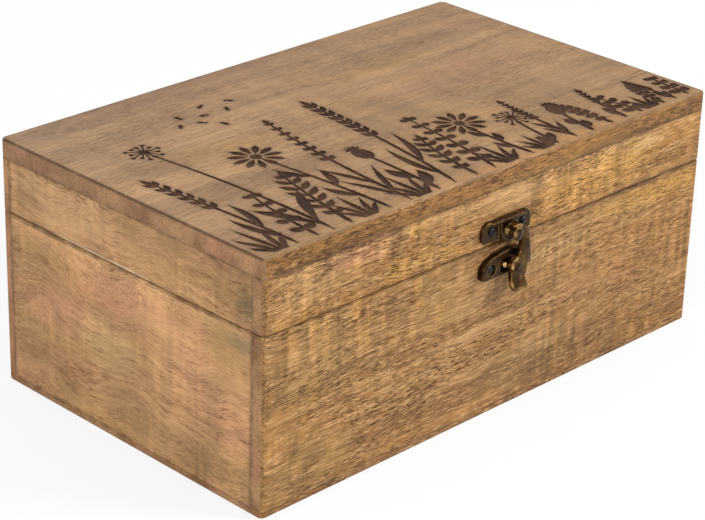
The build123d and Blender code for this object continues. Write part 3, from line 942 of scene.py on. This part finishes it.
LEFT_LID_SPOTS = (
    ((-66, 84), (8, 7), GREEN, 0.80), ((-52, 87), (15, 8), OLIVE, 0.40),
    ((-26, 93), (10, 4), OLIVE, 0.55), ((0, 92), (9, 5), OLIVE, 0.50),
    ((64, 83), (5, 4), OLIVE, 0.45), ((29, 87), (30, 9), ROSE, 0.40),
    ((-56, 90), (20, 14), UMBER, 0.30), ((34, 90), (34, 12), PALE, 0.26),
    # The UMBER line at Z 75 is painted shade of the gap between lid and body.
    ((-14, 90), (16, 9), UMBER, 0.14), ((50, 75.0), (26, 0.7), UMBER, 0.70),
)
TOP_SPOTS = (
    ((41, 33), (36, 6), AMBER, 0.22), ((-62, 8), (30, 8), AMBER, 0.16),
    ((30, -71), (110, 4), ORANGE, 0.50), ((-100, 60), (50, 12), OLIVE, 0.25),
    ((60, 5), (50, 16), ROSE, 0.30), ((-42, 68), (92, 18), UMBER, 0.42),
    ((62, -75), (28, 2.6), UMBER, 0.36),
)

# Humps that the grain bends round: the middle, the radii and the height.
LEFT_BODY_SWELLS = (
    ((5, 60), (26, 12), 6), ((50, 44), (12, 15), -7), ((-36, 50), (12, 16), 5),
    ((-10, 22), (20, 9), -4),
)
LEFT_LID_SWELLS = (
    ((-18, 84), (13, 12), -4), ((40, 86), (18, 10), 3),
)

# Painted highlights on the latch: the middle in X and Z, the radii and the strength.
LATCH_GLINTS = (
    ((9.4, 60), (1.3, 6.0), 0.85), ((0.2, 57.5), (1.2, 2.0), 0.65), ((2.2, 68.4), (1.6, 1.2), 0.50),
    ((3.4, 82.2), (2.0, 1.0), 0.35), ((-0.6, 80.0), (1.2, 1.4), 0.40),
    ((-0.1, 65.3), (1.5, 1.5), 0.85), ((5.0, 55.2), (3.0, 1.0), 0.30),
)

WOODEN = {
    "body_front_board": dict(
        axes=LENGTHWISE, palette=FRONT, seed=1, flow=3, curl=0.5, arcs=0.4, comb=2.0, pink=0.25,
        seams=0.35, lips=0.9, shade=1.00, end_shade=0.79, fade=(-40, 115, 1.0, 0.78),
        spots=FRONT_BODY_SPOTS, blocks=(45, 72, 0.55, 0.9)),
    "lid_front_rail": dict(
        axes=LENGTHWISE, palette=FRONT, seed=2, flow=3, curl=0.7, arcs=0.4, comb=2.3, yellow=0.6,
        lips=0.9, shade=1.07, end_shade=0.79, spots=FRONT_LID_SPOTS, blocks=(60, 76, 0.5, 0.9)),
    "body_back_board": dict(
        axes=LENGTHWISE, palette=FRONT, seed=3),
    "lid_back_rail": dict(
        axes=LENGTHWISE, palette=FRONT, seed=4),
    "body_left_end": dict(
        axes=SIDEWAYS, palette=SIDE, seed=5, flow=6, curl=2.8, dashes=0.28, arcs=0.68, comb=0.9,
        figure=1.1, seams=0.2, spots=LEFT_BODY_SPOTS, swells=LEFT_BODY_SWELLS),
    "body_right_end": dict(
        axes=SIDEWAYS, palette=SIDE, seed=6, flow=6, curl=2.2, dashes=0.25, arcs=0.5, figure=0.8,
        seams=0.2),
    # Its lower edge carries a painted highlight.
    "lid_left_end": dict(
        axes=SIDEWAYS, palette=SIDE, seed=7, flow=5, curl=2.4, dashes=0.36, arcs=0.75, comb=0.8,
        figure=0.8, seams=0.2, shade=0.88, spots=LEFT_LID_SPOTS, swells=LEFT_LID_SWELLS,
        highlight_place=((10, 75), (34, 0.7))),
    "lid_right_end": dict(
        axes=SIDEWAYS, palette=SIDE, seed=8, flow=6, curl=2.2, dashes=0.25, arcs=0.5, figure=0.8,
        seams=0.2),
    # The base panel is made darker as painted shade along the foot of the box.
    "base_panel": dict(
        axes=FLAT, palette=FRONT, seed=9, seams=0.15, shade=0.86),
    "lid_top_board": dict(
        axes=FLAT, palette=TOP, seed=10, flow=3, curl=0.5, lean=0.5, dashes=0.5, comb=0.4,
        figure=0.75, lips=0.85, shade=0.885, shine=0.26, end_fade=(-66, 66, 1.11, 0.82),
        spots=TOP_SPOTS, rim_palette=STRIP, scorch=True),
}


def dress():
    """Gives every piece its material, with the engraved board in place of the plain one."""
    board = add_engraved_lid()
    char = burnt("burnt_engraving")
    for node, settings in WOODEN.items():
        material = wood(node, **settings)
        set_material(node, material)
        if node == "lid_top_board":
            board.data.materials.append(material)
            board.data.materials.append(char)
    brass = aged_metal("antique_brass", srgb(50, 35, 20), srgb(80, 58, 33), srgb(202, 164, 106),
                       0.26, glints=LATCH_GLINTS)
    hook = aged_metal("hook_brass", srgb(58, 40, 19), srgb(100, 73, 38), srgb(208, 168, 104),
                      0.27, glints=LATCH_GLINTS, rounding=1.7)
    hinge = aged_metal("hinge_brass", srgb(60, 44, 30), srgb(98, 74, 46), srgb(190, 148, 88), 0.30)
    nails = aged_metal("dark_nails", srgb(28, 27, 30), srgb(42, 41, 46), srgb(104, 102, 106), 0.26)
    # The first of these that a metal piece has in its name says what it is made of.
    finishes = {"nails": nails, "hinge": hinge, "latch_hook": hook, "latch": brass}
    for item in bpy.data.objects:
        if item.type != "MESH" or item.name in WOODEN or item is board:
            continue
        for word, material in finishes.items():
            if word in item.name:
                set_material(item.name, material)
                break


# --------------------------------------------------------------------- stage

# A white background shows in these rays, and everything else gets the plain light.
BACKDROP_RAYS = ("Is Camera Ray", "Is Glossy Ray", "Is Transmission Ray")
# How many metres the floor reaches each way.
FLOOR_REACH = 3.0
FLOOR_GREY = (0.86, 0.86, 0.86, 1)
# The share of plain white in what those rays see of the floor. The rest is its shaded grey.
FLOOR_GLOW = 0.80
WHITE = (1, 1, 1, 1)
# The sky's strength near the horizon and overhead, and the directions' Z where it changes.
SKY_STRENGTHS = (0.33, 0.72)
SKY_HEIGHTS = (-0.05, 0.85)
# Each lamp's name, place and size in metres, and power in watts. They all aim at one place.
SOFTBOXES = (("key", (0.75, -1.05, 0.95), 0.5, 15.5), ("side", (-1.2, -0.35, 0.75), 0.9, 10.5),
             ("fill", (0.45, 1.5, 0.30), 0.9, 7))
LAMP_AIM = (0, 0, 0.05)
# The camera's azimuth, elevation and roll in degrees, and its place, lens and film in millimetres.
CAMERA_ANGLES = (-45.667, 25.073, 1.755)
CAMERA_PLACE = (-641.64, -622.32, 458.14)
CAMERA_LENS = 122.35
FILM_WIDTH = 36


def add_floor():
    """A pale floor under the box that is nearly white to the camera and keeps a faint shadow."""
    reach = FLOOR_REACH
    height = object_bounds()[0].z
    data = bpy.data.meshes.new("floor")
    data.from_pydata([(-reach, -reach, height), (reach, -reach, height), (reach, reach, height),
                      (-reach, reach, height)], [], [(0, 1, 2, 3)])
    floor = bpy.data.objects.new("floor", data)
    bpy.context.scene.collection.objects.link(floor)
    shader = Shader("floor_white")
    paths = shader.node("ShaderNodeLightPath").outputs
    seen = shader.most(*(paths[kind] for kind in BACKDROP_RAYS))
    matte = shader.node("ShaderNodeBsdfDiffuse", {"Color": FLOOR_GREY})
    light = shader.node("ShaderNodeEmission", {"Color": WHITE, "Strength": 1.0})
    both = shader.node("ShaderNodeMixShader", {
        0: shader.times(seen, FLOOR_GLOW), 1: matte.outputs[0], 2: light.outputs[0]})
    shader.node("ShaderNodeOutputMaterial", {"Surface": both.outputs[0]})
    data.materials.append(shader.material)


def add_world():
    """A white backdrop for the camera, and a sky that is brighter overhead for everything else."""
    world = bpy.data.worlds.new("studio")
    bpy.context.scene.world = world
    world.use_nodes = True
    nodes, links = world.node_tree.nodes, world.node_tree.links
    rays = nodes.new("ShaderNodeLightPath")
    direction = nodes.new("ShaderNodeTexCoord")
    parts = nodes.new("ShaderNodeSeparateXYZ")
    sky = nodes.new("ShaderNodeMapRange")
    sky.inputs["From Min"].default_value, sky.inputs["From Max"].default_value = SKY_HEIGHTS
    sky.inputs["To Min"].default_value, sky.inputs["To Max"].default_value = SKY_STRENGTHS
    level = nodes.new("ShaderNodeMapRange")
    level.inputs["To Max"].default_value = 1.0
    links.new(direction.outputs["Generated"], parts.inputs[0])
    links.new(parts.outputs["Z"], sky.inputs["Value"])
    seen = rays.outputs[BACKDROP_RAYS[0]]
    for kind in BACKDROP_RAYS[1:]:
        either = nodes.new("ShaderNodeMath")
        either.operation = "MAXIMUM"
        links.new(seen, either.inputs[0])
        links.new(rays.outputs[kind], either.inputs[1])
        seen = either.outputs[0]
    links.new(seen, level.inputs["Value"])
    links.new(sky.outputs[0], level.inputs["To Min"])
    background = nodes["Background"]
    background.inputs["Color"].default_value = WHITE
    links.new(level.outputs[0], background.inputs["Strength"])


def add_softbox(name, place, size, power):
    data = bpy.data.lights.new(name, "AREA")
    data.shape = "RECTANGLE"
    data.size, data.size_y = size, size
    data.energy = power
    lamp = bpy.data.objects.new(name, data)
    lamp.location = place
    lamp.rotation_euler = (Vector(LAMP_AIM) - Vector(place)).to_track_quat("-Z", "Y").to_euler()
    bpy.context.scene.collection.objects.link(lamp)


def add_camera():
    azimuth, elevation, roll = (math.radians(angle) for angle in CAMERA_ANGLES)
    back = Vector((math.sin(azimuth) * math.cos(elevation),
                   -math.cos(azimuth) * math.cos(elevation), math.sin(elevation)))
    right = (-back).cross(Vector((0, 0, 1))).normalized()
    upward = right.cross(-back)
    across = right * math.cos(roll) + upward * math.sin(roll)
    rising = upward * math.cos(roll) - right * math.sin(roll)
    data = bpy.data.cameras.new("camera")
    data.sensor_width = FILM_WIDTH
    data.lens = CAMERA_LENS
    camera = bpy.data.objects.new("camera", data)
    turn = Matrix((across, rising, back)).transposed().to_4x4()
    camera.matrix_world = Matrix.Translation(Vector(CAMERA_PLACE) * MM) @ turn
    bpy.context.scene.collection.objects.link(camera)
    bpy.context.scene.camera = camera


dress()
add_floor()
add_world()
for softbox in SOFTBOXES:
    add_softbox(*softbox)
add_camera()
bpy.context.scene.view_settings.view_transform = "Standard"
